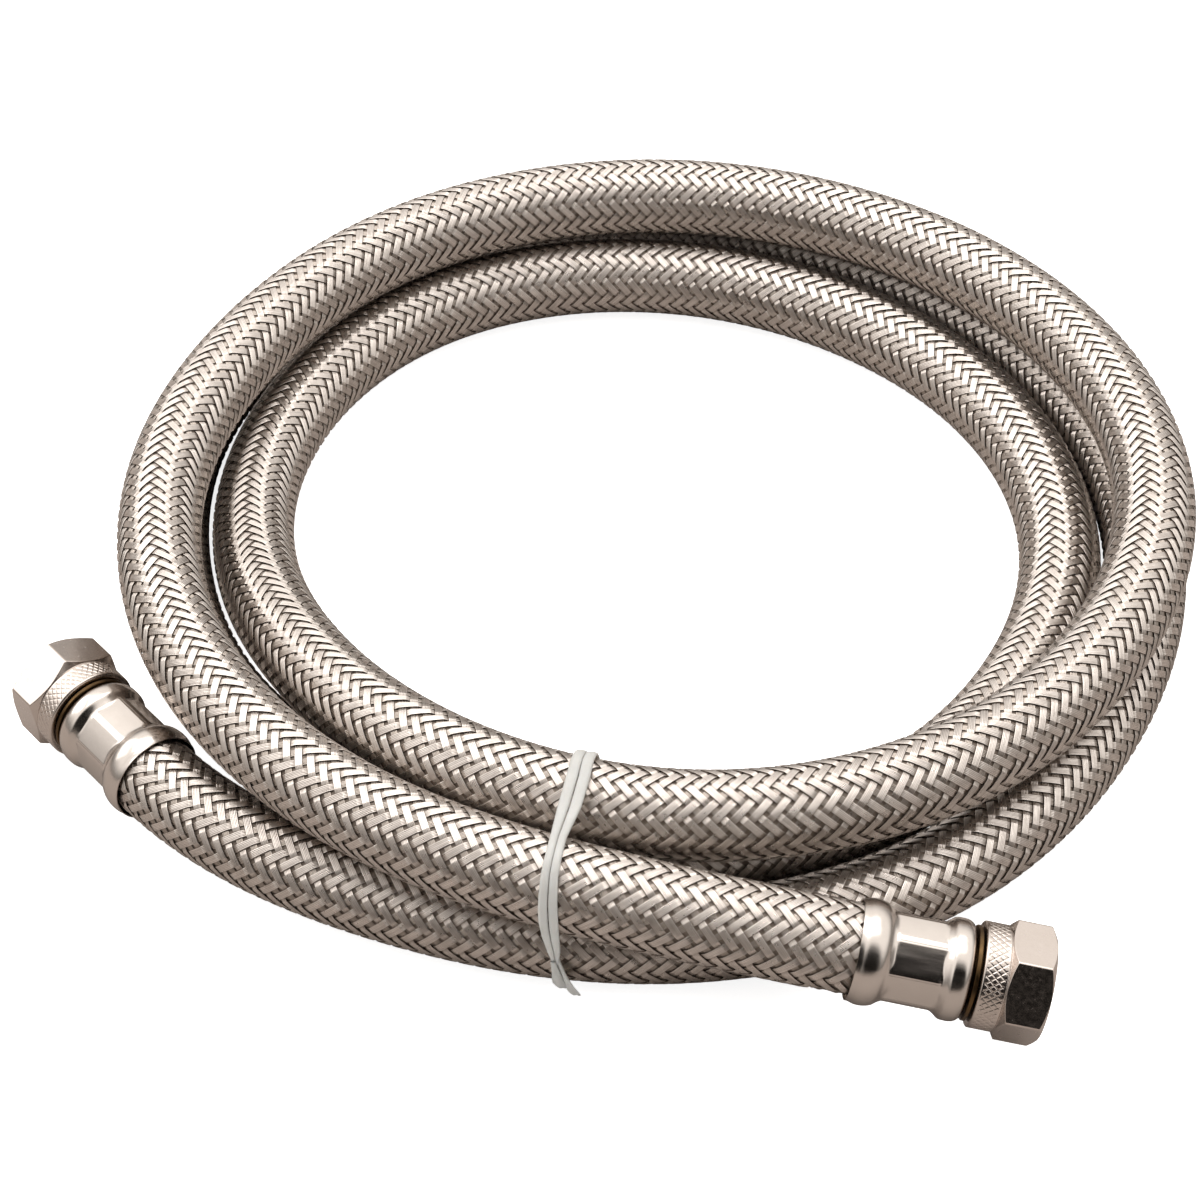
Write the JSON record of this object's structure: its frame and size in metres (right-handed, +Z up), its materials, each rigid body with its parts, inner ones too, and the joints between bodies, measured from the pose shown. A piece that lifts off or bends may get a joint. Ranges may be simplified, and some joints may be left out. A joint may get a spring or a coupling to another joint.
{
  "type": "braided supply line",
  "caption": "Steel-braided water supply hose lying in a tied coil, with a crimped ferrule and a swivelling compression nut on either end.",
  "frame": {"origin": "centre of the bounding box in plan, on the plane the coil lies on", "axes": "+Z up out of the table; the end fitting at the front points along +X; the side the picture was taken from is -Y"},
  "size_m": [0.2072, 0.2266, 0.0342],
  "materials": {
    "braid": "woven stainless wire, semi-bright",
    "liner": "matt black rubber",
    "ferrule": "polished stainless, crimped",
    "nut": "warm nickel-grey plating, satin to bright",
    "brass": "machined brass",
    "seal": "matt black rubber",
    "tie": "pale translucent plastic strip"
  },
  "bodies": {
    "hose": {"hose_braid": "braid", "inner_liner": "liner", "ferrule_a": "ferrule", "ferrule_b": "ferrule", "stem_a": "brass", "stem_b": "brass", "tie": "tie"},
    "nut_a": {"swivel_nut_a": "nut", "cone_seal_a": "seal"},
    "nut_b": {"swivel_nut_b": "nut", "cone_seal_b": "seal"}
  },
  "joints": [
    {"name": "nut_a_swivel", "type": "hinge", "parent": "hose", "child": "nut_a", "pos_m": [-0.07729, -0.0537, 0.00916], "axis": [-0.6492, 0.76, 0.0305], "continuous": true},
    {"name": "nut_b_swivel", "type": "hinge", "parent": "hose", "child": "nut_b", "pos_m": [0.03686, -0.10006, 0.01806], "axis": [0.9795, -0.1178, -0.1636], "continuous": true}
  ]
}
